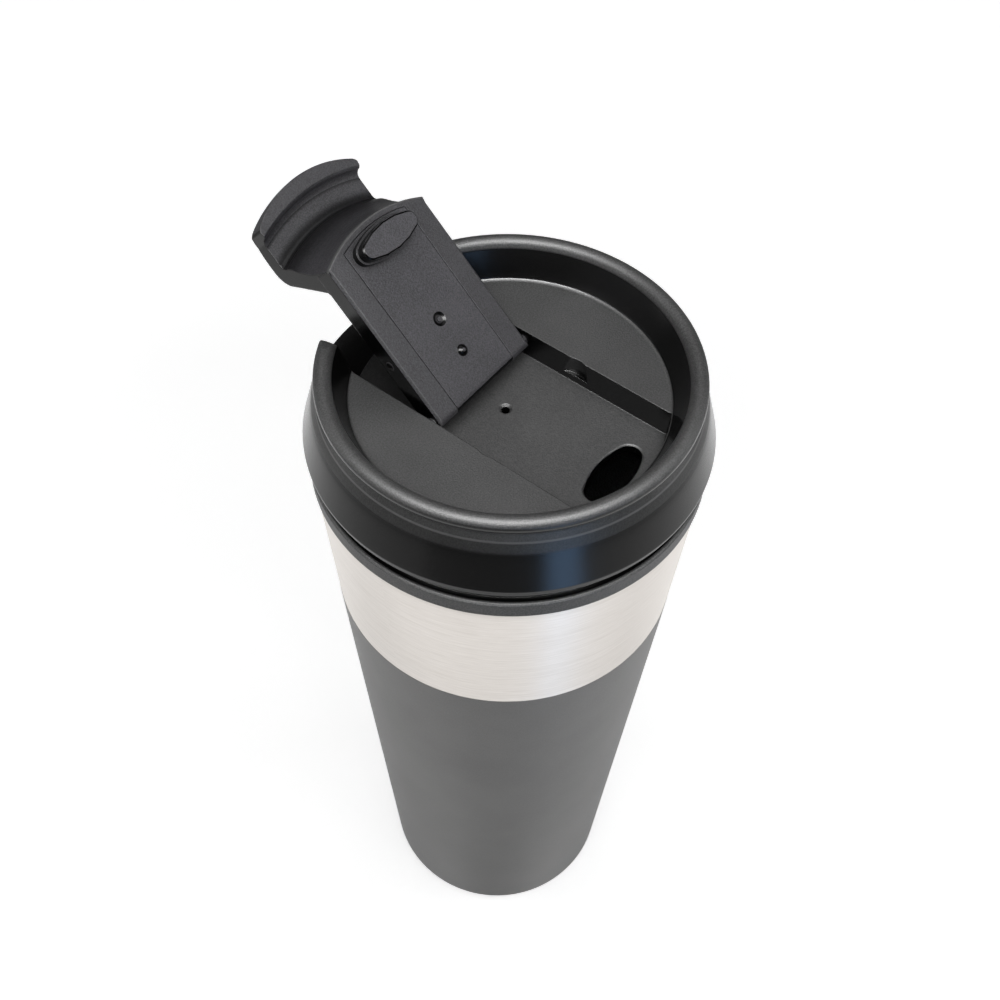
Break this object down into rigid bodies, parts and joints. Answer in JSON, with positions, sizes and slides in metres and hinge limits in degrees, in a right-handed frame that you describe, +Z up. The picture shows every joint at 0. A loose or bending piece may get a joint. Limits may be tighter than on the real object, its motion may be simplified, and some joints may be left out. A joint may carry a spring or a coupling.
{
  "type": "insulated travel mug",
  "caption": "Tapered double-wall steel travel mug with a plastic collar, a push-in lid and a flip lever that plugs the drink hole and folds back over a notch in the rim.",
  "frame": {"origin": "centre of the foot pad's underside, on the table", "axes": "+Z up along the mug's axis, -Y towards the drink hole, X along the lever's hinge"},
  "size_m": [0.0842, 0.0977, 0.2273],
  "materials": {
    "shell_coat": "matte grey coat with a bare brushed band at the top",
    "liner_steel": "satin",
    "collar_plastic": "matte",
    "clear_silicone": "translucent satin",
    "base_plastic": "matte",
    "pad_rubber": "matte",
    "lid_plastic": "fine sand texture",
    "lever_plastic": "satin",
    "seal_rubber": "satin"
  },
  "bodies": {
    "cup": {"outer_shell": "shell_coat", "inner_liner": "liner_steel", "collar_ring": "collar_plastic", "liner_seal": "clear_silicone", "base_cap": "base_plastic", "foot_pad": "pad_rubber"},
    "lid": {"lid_body": "lid_plastic", "lid_gasket": "clear_silicone"},
    "lever": {"flip_lever": "lever_plastic", "lever_seal": "seal_rubber"}
  },
  "joints": [
    {"name": "lid_lift", "type": "slide", "parent": "cup", "child": "lid", "axis": [0, 0, 1], "range_m": [0, 0.06]},
    {"name": "lever_hinge", "type": "hinge", "parent": "lid", "child": "lever", "pos_m": [0, 0.0085, 0.19795], "axis": [-1, 0, 0], "range_deg": [-138, 42]}
  ]
}
